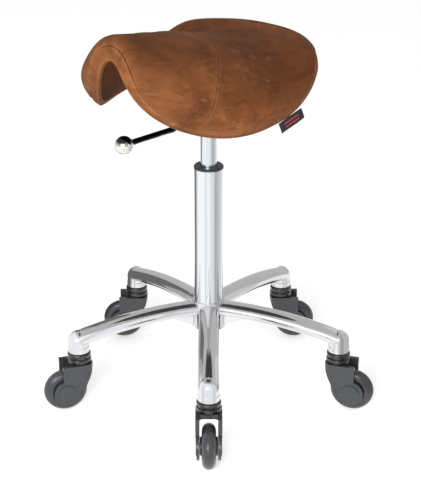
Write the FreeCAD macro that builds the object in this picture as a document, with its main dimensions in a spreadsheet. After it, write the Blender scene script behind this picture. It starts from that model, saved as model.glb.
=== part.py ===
import FreeCAD, Part
import Sketcher
import math
import os
import re

# Adjustable swivel stool: saddle seat on a gas lift with a five-arm base on casters.
# Frame: origin on the floor under the column, +Z up, the pommel of the seat towards -Y.
# Millimetres and degrees.

V = FreeCAD.Vector
Z_UP = V(0, 0, 1)

# ---------------------------------------------------------------- driving dimensions
DIMENSIONS = [
    # base
    ("arm_count", 5), ("arm_one_angle", -45), ("stem_circle_r", 236),
    ("hub_low", 122), ("hub_high", 174), ("hub_foot_r", 31), ("hub_top_r", 28),
    ("arm_half_width", 17.5), ("arm_half_height", 13.2), ("arm_inner_x", 14),
    ("arm_axis_high", 158.5), ("arm_mid_x", 143), ("arm_mid_z", 152), ("arm_end_z", 132.4),
    ("socket_low", 110), ("socket_ring_h", 9), ("socket_r", 18.4), ("socket_neck_r", 17.7), ("socket_top", 147.4),
    ("stem_bore_depth", 30), ("web_reach", 78), ("web_low", 128), ("web_thick", 9),
    # column
    ("tube_r", 25), ("tube_wall", 2), ("tube_low", 124), ("tube_high", 419), ("tube_floor", 3),
    ("bush_r", 25.3), ("bush_lip", 4.5), ("bush_low", 345), ("bush_bore_r", 14.05),
    ("bearing_r", 14), ("bearing_h", 5),
    # gas lift
    ("cylinder_r", 14), ("cylinder_wall", 1.5), ("cylinder_low", 160), ("cylinder_high", 540),
    ("cylinder_gland", 12), ("cylinder_head", 40), ("rod_r", 5), ("rod_low", 119), ("piston_low", 330),
    ("piston_h", 15), ("running_gap", 0.05), ("valve_r", 3), ("valve_len", 26), ("valve_proud", 6.6),
    # casters
    ("trail", 27), ("wheel_r", 38), ("tyre_depth", 14), ("tyre_half", 11.7), ("boss_r", 15.5), ("boss_half", 14.6),
    ("axle_r", 4), ("fork_half", 21.8), ("disc_half", 19.9), ("fork_gap_half", 15), ("fork_top", 90),
    ("fork_slot_top", 82), ("disc_r", 23), ("cap_r", 16), ("cap_thick", 1.4), ("stem_r", 5.5), ("stem_low", 82),
    ("stem_high", 139), ("collar_r", 20.6), ("collar_high", 109.6), ("crown_back", 20.5), ("crown_lip", 33),
    ("crown_corner", 9.5), ("crown_front", 17),
    # seat carrier
    ("taper_r", 20), ("taper_low", 484), ("web_z", 536), ("steel", 4), ("bracket_half", 27), ("bracket_len", 90),
    ("plate_low", 566), ("plate_half_x", 58), ("plate_half_y", 66), ("bolt_x", 42), ("bolt_y", 50), ("bolt_r", 4),
    ("bolt_head_r", 7), ("bolt_head_h", 5), ("pivot_y", -26), ("pivot_z", 552.3), ("pivot_r", 3),
    ("lever_r", 5), ("lever_low_z", 505), ("lever_bend_y", -48), ("lever_flat_y", -74), ("ball_y", -186),
    ("ball_r", 14.7), ("lever_tail_y", 7), ("eye_r", 7.5),
    # saddle: flat pattern (mm along the spine and across) and the bend of the sheet
    ("spine_len", 386), ("nose_y", -210.4), ("pattern_mid", 178), ("pattern_half", 181.7),
    ("nose_power", 1.79), ("tail_power", 2.37),
    ("spine_z_a", 645.3), ("spine_z_b", 627), ("spine_z_c", 605), ("spine_z_d", 586.7), ("spine_z_e", 602.9),
    ("bend_a", 87), ("bend_b", 74.5), ("bend_c", 62.5), ("bend_d", 43), ("bend_e", -5.7), ("bend_f", -2),
    ("bend_len_a", 27), ("bend_len_b", 169), ("bend_len_c", 205.6),
    # padding: height of the finished top above the sheet, and how far in from the edge it is reached
    ("band_h", 20.2), ("pan_thick", 45.8), ("ridge_thick", 31), ("flap_thick", 60), ("flap_reach", 110),
    ("flap_fade", 0.62), ("nose_lift", 6.5), ("nose_reach", 125),
    ("crown_run", 33.4), ("crown_run_nose", 20), ("shell_thick", 9), ("leather", 2.2),
    ("lining", 1.6), ("fit_gap", 0.3), ("foam_gap", 3.5), ("foam_edge_gap", 12), ("foam_edge_run", 44), ("edge_inset", 7),
    # cross seam: its station along the spine at evenly spaced distances across
    ("seam_a", 155), ("seam_b", 153.5), ("seam_c", 136), ("seam_d", 101), ("seam_e", 76), ("seam_span", 144),
    ("seam_gap", 1.2), ("front_panel_mid", 95), ("rear_panel_mid", 265),
    ("tag_len", 50), ("tag_wide", 17.5), ("tag_thick", 1.2), ("tag_up", 8.5), ("tag_angle", 73), ("tag_tilt", 8),
    ("lever_bend_r", 18), ("block_corner", 6), ("block_gap", 3.2), ("back_trail_left", 45), ("back_trail_right", 225),
]

doc = FreeCAD.newDocument("swivel_stool")
sheet = doc.addObject("Spreadsheet::Sheet", "dims")
for row, (alias, value) in enumerate(DIMENSIONS, start=1):
    sheet.set("A%d" % row, alias)
    sheet.set("B%d" % row, str(value))
    sheet.setAlias("B%d" % row, alias)
doc.recompute()

PARTS = []


def size(alias):
    """The value of one driving dimension."""
    return float(getattr(sheet, alias))


def bound(text):
    """An expression on the sheet's aliases, written out for the expression engine."""
    return re.sub(r"\b([a-z]\w*)\b", r"dims.\1", text)


def value_of(text):
    """The number an expression on the sheet's aliases stands for."""
    result = sheet.evalExpression(bound(text))
    return float(getattr(result, "Value", result))


def keep(obj, label, placement=None):
    """Register an object as a sub-part."""
    obj.Label = label
    if placement is not None:
        obj.Placement = placement
    PARTS.append(obj)
    return obj


def origin_plane(body, role):
    """One of a body's own origin planes or axes."""
    return [feature for feature in body.Origin.OriginFeatures if feature.Role == role][0]


def new_sketch(body, name, role, offset=None):
    """A sketch on one of the body's own origin planes."""
    sketch = body.newObject("Sketcher::SketchObject", name)
    sketch.AttachmentSupport = [(origin_plane(body, role), "")]
    sketch.MapMode = "FlatFace"
    if offset is not None:
        sketch.AttachmentOffset = FreeCAD.Placement(offset, FreeCAD.Rotation())
    return sketch


def pin_point(sketch, geo, end, along, up):
    """Place a sketch point by two dimensions bound to the sheet."""
    for kind, text, axis in (("DistanceX", along, -2), ("DistanceY", up, -1)):
        if text == "0":
            sketch.addConstraint(Sketcher.Constraint("PointOnObject", geo, end, axis))
        else:
            index = sketch.addConstraint(Sketcher.Constraint(kind, -1, 1, geo, end, value_of(text)))
            sketch.setExpression("Constraints[%d]" % index, bound(text))


def polygon(sketch, corners):
    """A closed polygon whose corners are pairs of sheet expressions."""
    points = [V(value_of(along), value_of(up), 0) for along, up in corners]
    count = len(points)
    for i in range(count):
        sketch.addGeometry(Part.LineSegment(points[i], points[(i + 1) % count]), False)
    for i in range(count):
        sketch.addConstraint(Sketcher.Constraint("Coincident", i, 2, (i + 1) % count, 1))
    for i, (along, up) in enumerate(corners):
        pin_point(sketch, i, 1, along, up)


def circle(sketch, radius, along="0", up="0"):
    """A circle with its centre and radius bound to the sheet."""
    centre = V(value_of(along), value_of(up), 0)
    geo = sketch.addGeometry(Part.Circle(centre, Z_UP, value_of(radius)), False)
    pin_point(sketch, geo, 3, along, up)
    index = sketch.addConstraint(Sketcher.Constraint("Radius", geo, value_of(radius)))
    sketch.setExpression("Constraints[%d]" % index, bound(radius))


def revolve(body, name, corners, kind="PartDesign::Revolution", offset=None):
    """Turn a polygon of the XZ plane a full turn about the sketch's vertical axis."""
    sketch = new_sketch(body, name + "_profile", "XZ_Plane", offset)
    polygon(sketch, corners)
    feature = body.newObject(kind, name)
    feature.Profile = sketch
    feature.ReferenceAxis = (sketch, ["V_Axis"])
    feature.Angle = 360.0
    return feature


def pad(body, name, sketch, length, midplane=True):
    """Pad a sketch by a length bound to the sheet."""
    feature = body.newObject("PartDesign::Pad", name)
    feature.Profile = sketch
    feature.SideType = "Symmetric" if midplane else "One side"
    feature.setExpression("Length", bound(length))
    return feature


def pocket_through(body, name, sketch):
    """Cut a sketch right through the body, both ways."""
    feature = body.newObject("PartDesign::Pocket", name)
    feature.Profile = sketch
    feature.SideType = "Symmetric"
    feature.Length = 2000
    return feature


def turned(label, corners, placement=None):
    """A turned piece: one polygon revolved about its own axis."""
    body = doc.addObject("PartDesign::Body", label + "_body")
    revolve(body, label + "_turning", corners)
    return keep(body, label, placement)


# ---------------------------------------------------------------- base
def star_base():
    """Cast hub, five curved oval arms on webs, and a domed caster socket at each arm's end."""
    body = doc.addObject("PartDesign::Body", "star_base_body")
    revolve(body, "hub", [("0", "hub_low"), ("hub_foot_r - 2", "hub_low"), ("hub_foot_r", "hub_low + 3"),
                          ("hub_foot_r - 1", "arm_axis_high"), ("hub_top_r", "hub_high"), ("0", "hub_high")])
    path = new_sketch(body, "arm_path", "XZ_Plane")
    start = V(size("arm_inner_x"), size("arm_axis_high"), 0)
    middle = V(size("arm_mid_x"), size("arm_mid_z"), 0)
    end = V(size("stem_circle_r"), size("arm_end_z"), 0)
    path.addGeometry(Part.Arc(start, middle, end), False)
    pin_point(path, 0, 2, "arm_inner_x", "arm_axis_high")
    pin_point(path, 0, 1, "stem_circle_r", "arm_end_z")
    section = new_sketch(body, "arm_section", "YZ_Plane", V(0, 0, size("arm_inner_x")))
    centre = V(0, size("arm_axis_high"), 0)
    section.addGeometry(Part.Ellipse(centre + V(size("arm_half_width"), 0, 0),
                                     centre + V(0, size("arm_half_height"), 0), centre), False)
    arm = body.newObject("PartDesign::AdditivePipe", "arm")
    arm.Profile = section
    arm.Spine = (path, ["Edge1"])
    arm.Mode = "Frenet"
    web_sketch = new_sketch(body, "web_outline", "XZ_Plane")
    polygon(web_sketch, [("arm_inner_x", "web_low"), ("hub_foot_r", "web_low"),
                         ("web_reach", "arm_axis_high - 8"), ("arm_inner_x", "arm_axis_high")])
    web = pad(body, "web", web_sketch, "web_thick")
    offset = V(size("stem_circle_r"), 0, 0)
    dome_steps = 9
    dome = []
    for k in range(dome_steps):
        angle = math.radians(90.0 * k / dome_steps)
        dome.append(("socket_neck_r * %.5f" % math.cos(angle),
                     "socket_top - socket_neck_r * %.5f" % (1 - math.sin(angle))))
    socket = revolve(body, "socket", [
        ("0", "socket_low"), ("socket_r - 0.6", "socket_low"), ("socket_r", "socket_low + 0.6"),
        ("socket_r", "socket_low + socket_ring_h"), ("socket_neck_r", "socket_low + socket_ring_h + 1")]
        + dome + [("0", "socket_top")], offset=offset)
    bore = revolve(body, "stem_bore", [
        ("0", "socket_low - 2"), ("stem_r", "socket_low - 2"), ("stem_r", "socket_low + stem_bore_depth"),
        ("0", "socket_low + stem_bore_depth")], "PartDesign::Groove", offset)
    pattern = body.newObject("PartDesign::PolarPattern", "arms")
    pattern.Originals = [arm, web, socket, bore]
    pattern.Axis = (origin_plane(body, "Z_Axis"), [""])
    pattern.Angle = 360.0
    pattern.Occurrences = int(size("arm_count"))
    body.Tip = pattern
    revolve(body, "hub_bore", [("0", "hub_low - 5"), ("tube_r", "hub_low - 5"), ("tube_r", "hub_high + 5"),
                               ("0", "hub_high + 5")], "PartDesign::Groove")
    turn = FreeCAD.Placement(V(), FreeCAD.Rotation(Z_UP, size("arm_one_angle")))
    keep(body, "star_base", turn)


def column():
    """Outer tube with its guide bush and the thrust bearing at its foot."""
    turned("column_tube", [
        ("rod_r + 1", "tube_low"), ("tube_r - 1", "tube_low"), ("tube_r", "tube_low + 1"), ("tube_r", "tube_high"),
        ("tube_r - tube_wall", "tube_high"), ("tube_r - tube_wall", "tube_low + tube_floor"),
        ("rod_r + 1", "tube_low + tube_floor")])
    turned("guide_bush", [
        ("bush_bore_r", "bush_low"), ("tube_r - tube_wall", "bush_low"), ("tube_r - tube_wall", "tube_high"),
        ("bush_r", "tube_high"), ("bush_r", "tube_high + bush_lip - 1.5"), ("bush_r - 1.5", "tube_high + bush_lip"),
        ("bush_bore_r + 1", "tube_high + bush_lip"), ("bush_bore_r", "tube_high + bush_lip - 1")])
    turned("thrust_bearing", [
        ("rod_r + running_gap", "tube_low + tube_floor"), ("bearing_r", "tube_low + tube_floor"),
        ("bearing_r", "tube_low + tube_floor + bearing_h"),
        ("rod_r + running_gap", "tube_low + tube_floor + bearing_h")])


def gas_lift():
    """Piston rod standing on the bearing, and the pressure cylinder that rides up and down on it."""
    turned("piston_rod", [("0", "rod_low"), ("rod_r - 1", "rod_low"), ("rod_r", "rod_low + 1"),
                          ("rod_r", "piston_low"), ("rod_r - 1.5", "piston_low"),
                          ("rod_r - 1.5", "piston_low + piston_h"), ("0", "piston_low + piston_h")])
    turned("piston", [
        ("rod_r - 1.5", "piston_low"), ("cylinder_r - cylinder_wall - running_gap", "piston_low"),
        ("cylinder_r - cylinder_wall - running_gap", "piston_low + piston_h"),
        ("rod_r - 1.5", "piston_low + piston_h")])
    turned("rod_clip", [("rod_r", "rod_low + 1.5"), ("rod_r + 5", "rod_low + 1.5"),
                        ("rod_r + 5", "tube_low - fit_gap"), ("rod_r", "tube_low - fit_gap")])
    bore = "cylinder_r - cylinder_wall"
    turned("gas_cylinder", [
        ("rod_r + running_gap", "cylinder_low"), ("cylinder_r - 1", "cylinder_low"),
        ("cylinder_r", "cylinder_low + 1"), ("cylinder_r", "cylinder_high - 1"),
        ("cylinder_r - 1", "cylinder_high"), ("valve_r + running_gap", "cylinder_high"),
        ("valve_r + running_gap", "cylinder_high - cylinder_head"), (bore, "cylinder_high - cylinder_head"),
        (bore, "cylinder_low + cylinder_gland"), ("rod_r + running_gap", "cylinder_low + cylinder_gland")])
    turned("valve_pin", [
        ("0", "cylinder_high + valve_proud - valve_len"), ("valve_r", "cylinder_high + valve_proud - valve_len"),
        ("valve_r", "cylinder_high + valve_proud - 0.8"), ("valve_r - 0.8", "cylinder_high + valve_proud"),
        ("0", "cylinder_high + valve_proud")])


# ---------------------------------------------------------------- casters
def caster_fork(label, place):
    """Fork: rounded crown block, and two cheeks reaching forward of it and ending in discs about the axle."""
    body = doc.addObject("PartDesign::Body", label + "_body")
    side = new_sketch(body, label + "_side", "XZ_Plane")
    polygon(side, [
        ("-crown_back", "fork_top"), ("crown_lip", "fork_top"), ("crown_lip", "wheel_r + 19"),
        ("trail", "wheel_r + 21"), ("trail - 12", "wheel_r + 17"), ("trail - 19", "wheel_r + 8"),
        ("trail - 26", "wheel_r + 3"), ("-6", "wheel_r + 10"), ("-9.5", "wheel_r + 19"), ("-14", "wheel_r + 28"),
        ("-18", "wheel_r + 37"), ("-crown_back", "fork_top - 7")])
    pad(body, label + "_block", side, "2 * fork_half")
    disc = new_sketch(body, label + "_disc_outline", "XZ_Plane")
    circle(disc, "disc_r", "trail", "wheel_r")
    pad(body, label + "_discs", disc, "2 * disc_half")
    slot = new_sketch(body, label + "_slot_outline", "YZ_Plane")
    polygon(slot, [("-fork_gap_half", "-5"), ("fork_gap_half", "-5"), ("fork_gap_half", "fork_slot_top - 2"),
                   ("fork_gap_half - 4", "fork_slot_top"), ("-fork_gap_half + 4", "fork_slot_top"),
                   ("-fork_gap_half", "fork_slot_top - 2")])
    pocket_through(body, label + "_slot", slot)
    notch = new_sketch(body, label + "_notch_outline", "XY_Plane")
    polygon(notch, [("crown_front", "-fork_gap_half"), ("crown_lip + 1", "-fork_gap_half"),
                    ("crown_lip + 1", "fork_gap_half"), ("crown_front", "fork_gap_half")])
    pocket_through(body, label + "_notch", notch)
    for name, side_sign in (("left", ""), ("right", "-")):
        corner = new_sketch(body, label + "_corner_" + name, "XY_Plane")
        outer = side_sign + "(fork_half + 1)"
        inner = side_sign + "(fork_half - crown_corner)"
        middle = side_sign + "(fork_half - crown_corner / 3)"
        polygon(corner, [("-crown_back - 1", outer), ("-crown_back - 1", inner), ("-crown_back", inner),
                         ("-crown_back + crown_corner / 3", middle), ("-crown_back + crown_corner", outer)])
        pocket_through(body, label + "_rounding_" + name, corner)
    pin_hole = new_sketch(body, label + "_pin_outline", "XZ_Plane")
    circle(pin_hole, "axle_r", "trail", "wheel_r")
    pocket_through(body, label + "_pin_hole", pin_hole)
    revolve(body, label + "_stem_bore", [
        ("0", "stem_low - 1"), ("stem_r + running_gap", "stem_low - 1"), ("stem_r + running_gap", "fork_top + 2"),
        ("0", "fork_top + 2")], "PartDesign::Groove")
    keep(body, label, place)


def sideways(place):
    """A caster placement turned so that a turned piece's axis lies along the axle."""
    about_axle = FreeCAD.Placement(V(size("trail"), 0, size("wheel_r")), FreeCAD.Rotation(V(1, 0, 0), 90))
    return place.multiply(about_axle)


def caster_wheel(label, place):
    """Wheel disc with its boss, and the rounded tyre round it."""
    rim = "(wheel_r - tyre_depth)"
    turned(label + "_hub", [
        ("axle_r + running_gap", "-boss_half"), ("boss_r - 1", "-boss_half"), ("boss_r", "-boss_half + 1"),
        ("boss_r", "-tyre_half + 3"), (rim + " - 3", "-tyre_half + 3"), (rim, "-tyre_half + 0.5"),
        (rim, "tyre_half - 0.5"), (rim + " - 3", "tyre_half - 3"), ("boss_r", "tyre_half - 3"),
        ("boss_r", "boss_half - 1"), ("boss_r - 1", "boss_half"), ("axle_r + running_gap", "boss_half")],
        sideways(place))
    steps = 7
    tread = []
    for k in range(-steps, steps + 1):
        angle = 90.0 * k / steps
        tread.append(("%s + tyre_depth * %.5f" % (rim, math.cos(math.radians(angle)) ** 0.9),
                      "tyre_half * %.5f" % math.sin(math.radians(angle))))
    tread[0], tread[-1] = (rim, "-tyre_half"), (rim, "tyre_half")
    turned(label + "_tyre", tread, sideways(place))


def caster_caps(label, place):
    """The two round caps on the outside of the fork's discs."""
    caps = []
    for side, low in (("left", "disc_half"), ("right", "-disc_half - cap_thick")):
        cap = doc.addObject("Part::Cylinder", "%s_%s" % (label, side))
        cap.setExpression("Radius", bound("cap_r"))
        cap.setExpression("Height", bound("cap_thick"))
        cap.setExpression("Placement.Base.z", bound(low))
        caps.append(cap)
    pair = doc.addObject("Part::Compound", label + "_pair")
    pair.Links = caps
    keep(pair, label, sideways(place))


def caster(number, arm_angle, trail_angle):
    """One caster: fixed stem in the arm's socket, swivelling fork with its collar, and the wheel."""
    angle = math.radians(arm_angle)
    spot = V(size("stem_circle_r") * math.cos(angle), size("stem_circle_r") * math.sin(angle), 0)
    place = FreeCAD.Placement(spot, FreeCAD.Rotation(Z_UP, trail_angle))
    label = "caster_%d" % number
    turned(label + "_stem", [("0", "stem_low"), ("stem_r - 0.8", "stem_low"), ("stem_r", "stem_low + 0.8"),
                             ("stem_r", "stem_high"), ("0", "stem_high")], place)
    turned(label + "_collar", [
        ("stem_r + running_gap", "fork_top"), ("collar_r - 1.5", "fork_top"), ("collar_r - 0.4", "fork_top + 0.8"),
        ("collar_r", "fork_top + 2.5"), ("collar_r", "fork_top + 6.5"), ("collar_r - 0.8", "fork_top + 8.2"),
        ("collar_r - 2.6", "fork_top + 9.2"), ("collar_r - 2.6", "fork_top + 10.6"),
        ("collar_r - 1.0", "fork_top + 11.6"), ("collar_r - 0.3", "fork_top + 13.5"),
        ("collar_r - 0.3", "collar_high - 3.5"), ("collar_r - 1.4", "collar_high - 1.4"),
        ("collar_r - 3.5", "collar_high"), ("stem_r + running_gap", "collar_high")], place)
    caster_fork(label + "_fork", place)
    turned(label + "_axle", [("0", "-disc_half"), ("axle_r", "-disc_half"), ("axle_r", "disc_half"),
                             ("0", "disc_half")], sideways(place))
    caster_caps(label + "_caps", place)
    caster_wheel(label, place)


def casters():
    """Five casters; those at the back stand turned sideways, the others trail outwards."""
    step = 360.0 / size("arm_count")
    sideways_trail = {3: size("back_trail_left"), 4: size("back_trail_right")}
    for index in range(int(size("arm_count"))):
        angle = size("arm_one_angle") + index * step
        caster(index + 1, angle, sideways_trail.get(index + 1, angle))


# ---------------------------------------------------------------- saddle surface
def knot_curve(values, fraction):
    """A smooth curve through evenly spaced values."""
    last = len(values) - 1
    place = min(max(fraction, 0.0), 1.0) * last
    i = min(int(place), last - 1)
    t = place - i
    left, right = values[i], values[i + 1]
    before = values[i - 1] if i > 0 else 2 * left - right
    after = values[i + 2] if i + 2 <= last else 2 * right - left
    a = 0.5 * (right - before)
    b = 0.5 * (after - left)
    return (left * (2 * t ** 3 - 3 * t ** 2 + 1) + a * (t ** 3 - 2 * t ** 2 + t)
            + right * (3 * t ** 2 - 2 * t ** 3) + b * (t ** 3 - t ** 2))


SPINE_Z = [size("spine_z_" + letter) for letter in "abcde"]
SEAM = [size("seam_" + letter) for letter in "abcde"]
BEND = [math.radians(size("bend_" + letter)) for letter in "abcdef"]
BEND_LEN = [size("bend_len_" + letter) for letter in "abc"]
SPINE_STEPS = 200


def spine_table():
    """Plan position, height and slope of the seat's centre line, by length along it."""
    rows = []
    along = size("nose_y")
    step = size("spine_len") / SPINE_STEPS
    for i in range(SPINE_STEPS + 1):
        low = knot_curve(SPINE_Z, (i - 0.5) / SPINE_STEPS)
        high = knot_curve(SPINE_Z, (i + 0.5) / SPINE_STEPS)
        span = (1.0 if 0 < i < SPINE_STEPS else 0.5) * step
        rise = max(-0.98, min(0.98, (high - low) / span))
        run = math.sqrt(1 - rise * rise)
        rows.append((along, knot_curve(SPINE_Z, i / SPINE_STEPS), rise, run))
        along += run * step
    return rows


SPINE = spine_table()


def spine_at(station):
    """Interpolated row of the spine table."""
    place = min(max(station / size("spine_len"), 0.0), 1.0) * SPINE_STEPS
    i = min(int(place), SPINE_STEPS - 1)
    t = place - i
    return [SPINE[i][k] * (1 - t) + SPINE[i + 1][k] * t for k in range(4)]


def saddle_point(station, across, height):
    """A point of the seat: distance along the spine, distance across the bent sheet, height off it."""
    along, level, rise, run = spine_at(station)
    fraction = station / size("spine_len")
    bend = knot_curve(BEND, fraction)
    length = knot_curve(BEND_LEN, fraction)
    steps = 24
    piece = abs(across) / steps
    out = 0.0
    down = 0.0
    for k in range(steps):
        angle = bend * math.tanh((k + 0.5) * piece / length)
        out += math.cos(angle) * piece
        down += math.sin(angle) * piece
    angle = bend * math.tanh(abs(across) / length)
    side = -1.0 if across < 0 else 1.0
    return V(side * (out + height * math.sin(angle)),
             along + down * rise - height * math.cos(angle) * rise,
             level - down * run + height * math.cos(angle) * run)


def outline_reach(station_part, across_part):
    """Distance from the pattern's middle to its outline, in the direction given."""
    front = station_part < 0
    half_long = size("pattern_mid") if front else size("spine_len") - size("pattern_mid")
    power = size("nose_power") if front else size("tail_power")
    total = abs(station_part / half_long) ** power + abs(across_part / size("pattern_half")) ** power
    return total ** (-1.0 / power)


def edge_distance(station, across):
    """Distance inside the pattern's outline."""
    part = (station - size("pattern_mid"), across)
    radius = math.hypot(*part)
    if radius < 1e-6:
        return size("pattern_half")
    return outline_reach(part[0] / radius, part[1] / radius) - radius


def ease(value):
    """A smooth step from 0 to 1."""
    part = min(max(value, 0.0), 1.0)
    return part * part * (3 - 2 * part)


def crown_height(station, across):
    """Height of the finished top above the sheet: the band's height at the edge, full further in.

    Over the front half the padding thins along the ridge, thickens on the flaps and fills out again at the nose.
    """
    front = 1 - ease(station / (0.5 * size("spine_len")))
    flap = ease(abs(across) / size("flap_reach"))
    beside = 1 - ease(station / (size("flap_fade") * size("spine_len")))
    full = size("pan_thick")
    full += front * (1 - flap) * (size("ridge_thick") - size("pan_thick"))
    full += beside * flap * (size("flap_thick") - size("pan_thick"))
    full += size("nose_lift") * (1 - ease(station / size("nose_reach")))
    run = size("crown_run") + front * (size("crown_run_nose") - size("crown_run"))
    share = min(max(edge_distance(station, across) / run, 0.0), 1.0)
    rise = math.sqrt(1 - (1 - share) ** 2)
    return size("band_h") + (full - size("band_h")) * rise


def level_height(height):
    """A constant height above the sheet, in the form the rings take."""
    return lambda station, across: height


def ring(centre, reach, scale, height, count=64):
    """A closed smooth curve on the seat: a scaled outline in the pattern, lifted by a height."""
    points = []
    for k in range(count):
        angle = 2 * math.pi * k / count
        radius = reach(math.cos(angle), math.sin(angle)) * scale
        station = centre[0] + radius * math.cos(angle)
        across = centre[1] + radius * math.sin(angle)
        points.append(saddle_point(station, across, height(station, across)))
    curve = Part.BSplineCurve()
    curve.interpolate(points, PeriodicFlag=True)
    return Part.Wire([curve.toShape()])


SHEET_RINGS = (0.1, 0.2, 0.3, 0.4, 0.5, 0.6, 0.7, 0.78, 0.85, 0.9, 0.94, 0.97, 0.99, 1.0)


def solid_of(faces):
    """A closed solid sewn from its faces."""
    shell = Part.makeShell(faces)
    shell.sewShape()
    solid = Part.makeSolid(shell)
    if solid.Volume < 0:
        solid.reverse()
    return solid


def sheet_solid(centre, reach, low, high, scales=SHEET_RINGS):
    """A closed solid between two heights above the bent sheet, over one outline."""
    top = [ring(centre, reach, scale, high) for scale in scales]
    bottom = [ring(centre, reach, scale, low) for scale in scales]
    apex = Part.Vertex(saddle_point(centre[0], centre[1], high(*centre)))
    foot = Part.Vertex(saddle_point(centre[0], centre[1], low(*centre)))
    faces = []
    for tip, rings in ((apex, top), (foot, bottom)):
        faces += Part.makeLoft([tip, rings[0]], False, True).Faces
        for inner, outer in zip(rings, rings[1:]):
            faces += Part.makeLoft([inner, outer], False, True).Faces
    faces += Part.makeLoft([top[-1], bottom[-1]], False, True).Faces
    return solid_of(faces)


def inset_reach(inset):
    """The pattern's outline drawn in by an inset."""
    return lambda x, y: outline_reach(x, y) - inset


def seat_centre():
    return (size("pattern_mid"), 0.0)


def put_feature(label, shape):
    """A sub-part whose shape is made by Part's own functions."""
    feature = doc.addObject("Part::Feature", label + "_shape")
    feature.Shape = shape
    return keep(feature, label, FreeCAD.Placement())


def bolt_spots():
    return [(x * size("bolt_x"), y * size("bolt_y")) for x in (-1, 1) for y in (-1, 1)]


def station_of(y_value, across_value):
    """Pattern coordinates of the point of the sheet straight above a point of the plan."""
    station = y_value - size("nose_y")
    across = across_value
    for _ in range(40):
        point = saddle_point(station, across, 0)
        station += y_value - point.y
        across += across_value - point.x
    return station, across


def seat_shell():
    """Bent plywood shell with a hole for each tee nut."""
    solid = sheet_solid(seat_centre(), inset_reach(size("edge_inset")), level_height(0.0),
                        level_height(size("shell_thick")))
    for x_value, y_value in bolt_spots():
        hole = Part.makeCylinder(size("bolt_r") + 1.6, 120, V(x_value, y_value, size("plate_low")))
        solid = solid.cut(hole)
    put_feature("seat_shell", solid)


def seat_foam():
    """Foam pad over the shell, crowned at the top and skived thin round its edge."""
    gap = size("fit_gap")
    lowered = size("leather") + size("foam_gap")
    under = level_height(size("shell_thick") + gap)

    def over(station, across):
        sunk = size("foam_edge_gap") * (1 - ease(edge_distance(station, across) / size("foam_edge_run")))
        return max(crown_height(station, across) - lowered - sunk, under(station, across) + 1.5)
    reach = inset_reach(size("leather") + 2 * size("foam_gap"))
    put_feature("seat_foam", sheet_solid(seat_centre(), reach, under, over))


def seam_station(across):
    """Station of the cross seam between the two leather panels, which sweeps forward on the flaps."""
    return knot_curve(SEAM, abs(across) / size("seam_span"))


def panel_reach(centre, front):
    """Outline of one top panel about its own centre: the seat's outline, cut off by the cross seam."""
    half_gap = size("seam_gap") / 2

    def inside(station, across):
        if edge_distance(station, across) < size("leather"):
            return False
        beyond = station - seam_station(across)
        return beyond < -half_gap if front else beyond > half_gap

    def reach(x_part, y_part):
        low, high = 0.0, size("spine_len")
        for _ in range(26):
            mid = 0.5 * (low + high)
            if inside(centre[0] + mid * x_part, centre[1] + mid * y_part):
                low = mid
            else:
                high = mid
        return low
    return reach


def top_panels():
    """Front and rear leather panels, meeting at the cross seam."""
    def under(station, across):
        return crown_height(station, across) - size("leather")

    for label, middle, front in (("cover_front", "front_panel_mid", True), ("cover_rear", "rear_panel_mid", False)):
        centre = (size(middle), 0.0)
        put_feature(label, sheet_solid(centre, panel_reach(centre, front), under, crown_height))


def cover_band():
    """Leather boxing band round the edge, from the lining up to the top panels' seam."""
    centre = seat_centre()
    bottom = level_height(-size("lining") - size("fit_gap"))
    top = level_height(size("band_h") - size("fit_gap"))
    outer = inset_reach(0.0)
    inner = inset_reach(size("leather"))
    points = 96
    loops = [ring(centre, outer, 1.0, bottom, points), ring(centre, outer, 1.0, top, points),
             ring(centre, inner, 1.0, top, points), ring(centre, inner, 1.0, bottom, points)]
    faces = []
    for first, second in zip(loops, loops[1:] + loops[:1]):
        faces += Part.makeLoft([first, second], False, True).Faces
    put_feature("cover_band", solid_of(faces))


def underside_cover():
    """Lining over the underside of the shell, with clearance holes for the bolts."""
    low = level_height(-size("lining") - size("fit_gap"))
    high = level_height(-size("fit_gap"))
    solid = sheet_solid(seat_centre(), inset_reach(size("leather") + size("fit_gap")), low, high)
    for x_value, y_value in bolt_spots():
        solid = solid.cut(Part.makeCylinder(size("bolt_r") + 1, 120, V(x_value, y_value, size("plate_low"))))
    put_feature("underside_cover", solid)


def edge_point(angle, height):
    """A point just outside the band at an angle of the pattern about its middle."""
    radius = outline_reach(math.cos(angle), math.sin(angle)) + size("tag_thick")
    station = size("pattern_mid") + radius * math.cos(angle)
    return saddle_point(station, radius * math.sin(angle), height)


def seat_label():
    """Woven tag sewn to the lower half of the band on the rear left, splayed outwards as it hangs."""
    angle = math.radians(size("tag_angle"))
    low = -size("lining") - size("fit_gap") + size("tag_up")
    edge = edge_point(angle, low)
    tangent = (edge_point(angle + 0.02, low) - edge).normalize()
    level = V(tangent.x, tangent.y, 0).normalize()
    outward = Z_UP.cross(level)
    tilt = math.radians(size("tag_tilt"))
    hang = Z_UP * -math.cos(tilt) + outward * math.sin(tilt)
    square = (hang - tangent * hang.dot(tangent)).normalize()
    tag = Part.makeBox(size("tag_len"), size("tag_thick"), size("tag_wide"),
                       V(-size("tag_len") / 2, -size("tag_thick") / 2, 0))
    feature = put_feature("seat_label", tag)
    turn = FreeCAD.Rotation(tangent, V(), square, "XZY")
    feature.Placement = FreeCAD.Placement(edge + outward * (size("tag_thick") / 2 + 1), turn)


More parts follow.
